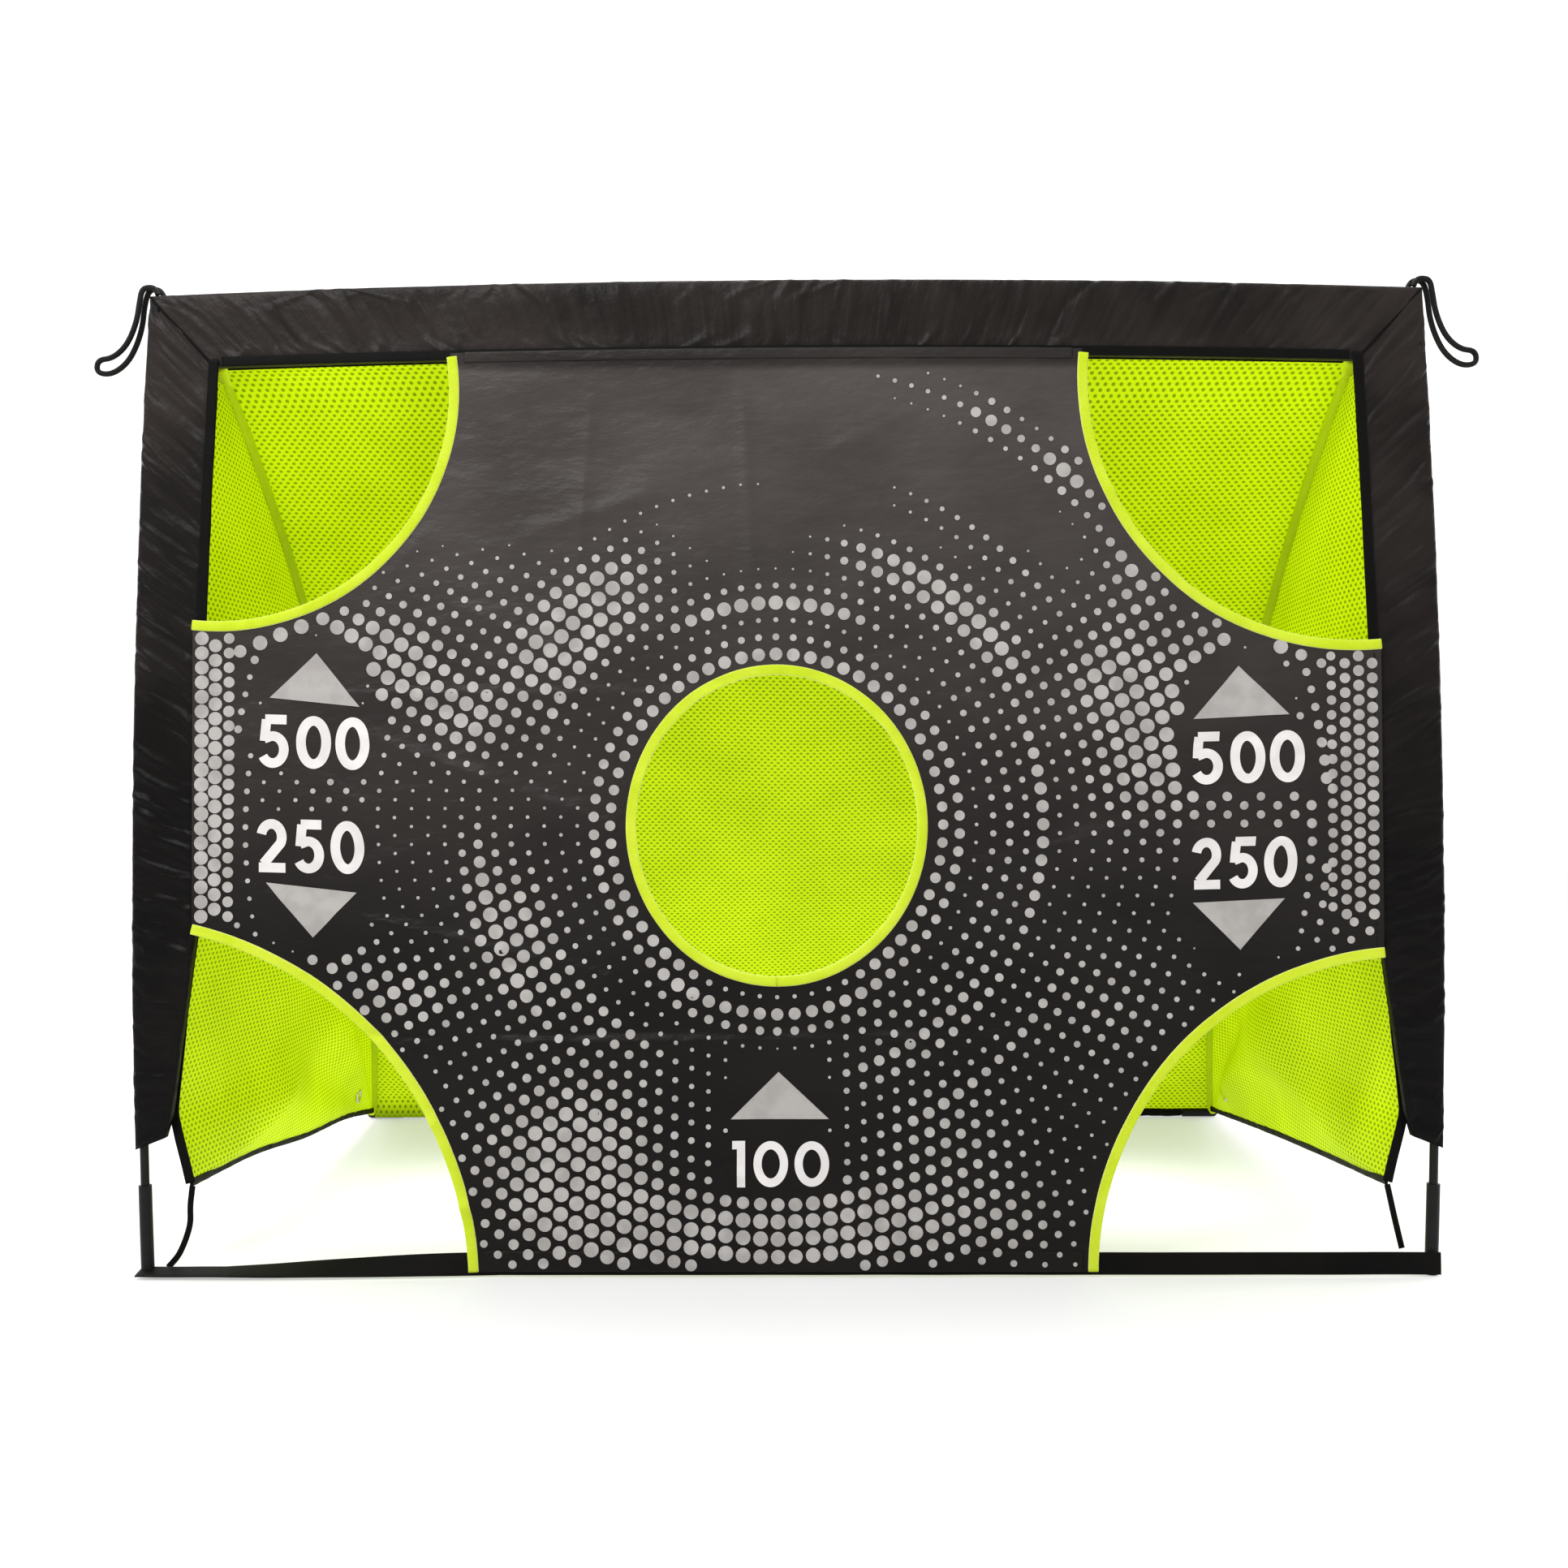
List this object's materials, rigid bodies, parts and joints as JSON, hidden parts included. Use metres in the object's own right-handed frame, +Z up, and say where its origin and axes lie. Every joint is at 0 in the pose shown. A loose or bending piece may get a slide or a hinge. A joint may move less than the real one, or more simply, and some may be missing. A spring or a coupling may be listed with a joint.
{
  "type": "folding target goal",
  "caption": "Free-standing garden goal: sleeved rod front frame, hinged mesh net frame and a pull-off target sheet with a centre hole and cut corners.",
  "frame": {"origin": "on the ground, in the middle of the base rectangle between the front feet and the rear ground bar", "axes": "+X to the right seen from the front, +Y from the target sheet to the back of the net, +Z up"},
  "size_m": [1.3172, 0.7688, 0.94],
  "materials": {
    "fibreglass": "satin pultruded rod",
    "steel": "plain",
    "moulding": "moulded nylon",
    "sleeve_cloth": "coated polyester oxford cloth",
    "printed_sheet": "printed polyester cloth",
    "lime_tape": "woven edge tape",
    "lime_mesh": "knitted hexagonal mesh",
    "black_webbing": "woven tape",
    "elastic_cord": "braided elastic cord"
  },
  "bodies": {
    "net_frame": {"back_net": "lime_mesh", "ground_bar_ferrule": "steel", "ground_bar_hem": "black_webbing", "ground_bar_rod_left": "fibreglass", "ground_bar_rod_right": "fibreglass", "peg_eyelet_left": "steel", "peg_eyelet_right": "steel", "rear_corner_left": "moulding", "rear_corner_right": "moulding", "side_hem_left": "black_webbing", "side_hem_right": "black_webbing", "side_net_left": "lime_mesh", "side_net_right": "lime_mesh", "stay_fork_left": "moulding", "stay_fork_right": "moulding", "stay_rod_left": "fibreglass", "stay_rod_right": "fibreglass", "stay_tunnel_left": "lime_tape", "stay_tunnel_right": "lime_tape"},
    "front_frame": {"corner_hub_left": "moulding", "corner_hub_right": "moulding", "corner_loop_left": "elastic_cord", "corner_loop_right": "elastic_cord", "crossbar_ferrule": "steel", "crossbar_rod_left": "fibreglass", "crossbar_rod_right": "fibreglass", "foot_tie_left": "black_webbing", "foot_tie_right": "black_webbing", "foot_tube_left": "moulding", "foot_tube_right": "moulding", "ground_strap": "black_webbing", "hinge_pin_left": "steel", "hinge_pin_right": "steel", "loop_tape_left": "black_webbing", "loop_tape_right": "black_webbing", "loop_tape_top": "black_webbing", "net_binding_left": "black_webbing", "net_binding_right": "black_webbing", "net_binding_top": "black_webbing", "sleeve_left": "sleeve_cloth", "sleeve_right": "sleeve_cloth", "sleeve_top": "sleeve_cloth", "upright_rod_left": "fibreglass", "upright_rod_right": "fibreglass"},
    "target_sheet": {"binding_centre": "lime_tape", "binding_lower_left": "lime_tape", "binding_lower_right": "lime_tape", "binding_upper_left": "lime_tape", "binding_upper_right": "lime_tape", "hook_tape_bottom": "black_webbing", "hook_tape_left": "black_webbing", "hook_tape_right": "black_webbing", "hook_tape_top": "black_webbing", "sheet_bottom_hem": "sleeve_cloth", "sheet_top_hem": "sleeve_cloth", "target_sheet": "printed_sheet"}
  },
  "joints": [
    {"name": "net_fold", "type": "hinge", "parent": "net_frame", "child": "front_frame", "pos_m": [0, -0.35405, 0.89], "axis": [1, 0, 0], "range_deg": [0, 38], "deforming": ["side_net_left", "side_net_right", "side_hem_left", "side_hem_right"]},
    {"name": "sheet_pull_off", "type": "slide", "parent": "front_frame", "child": "target_sheet", "axis": [0, -1, 0], "range_m": [0, 0.06]}
  ]
}
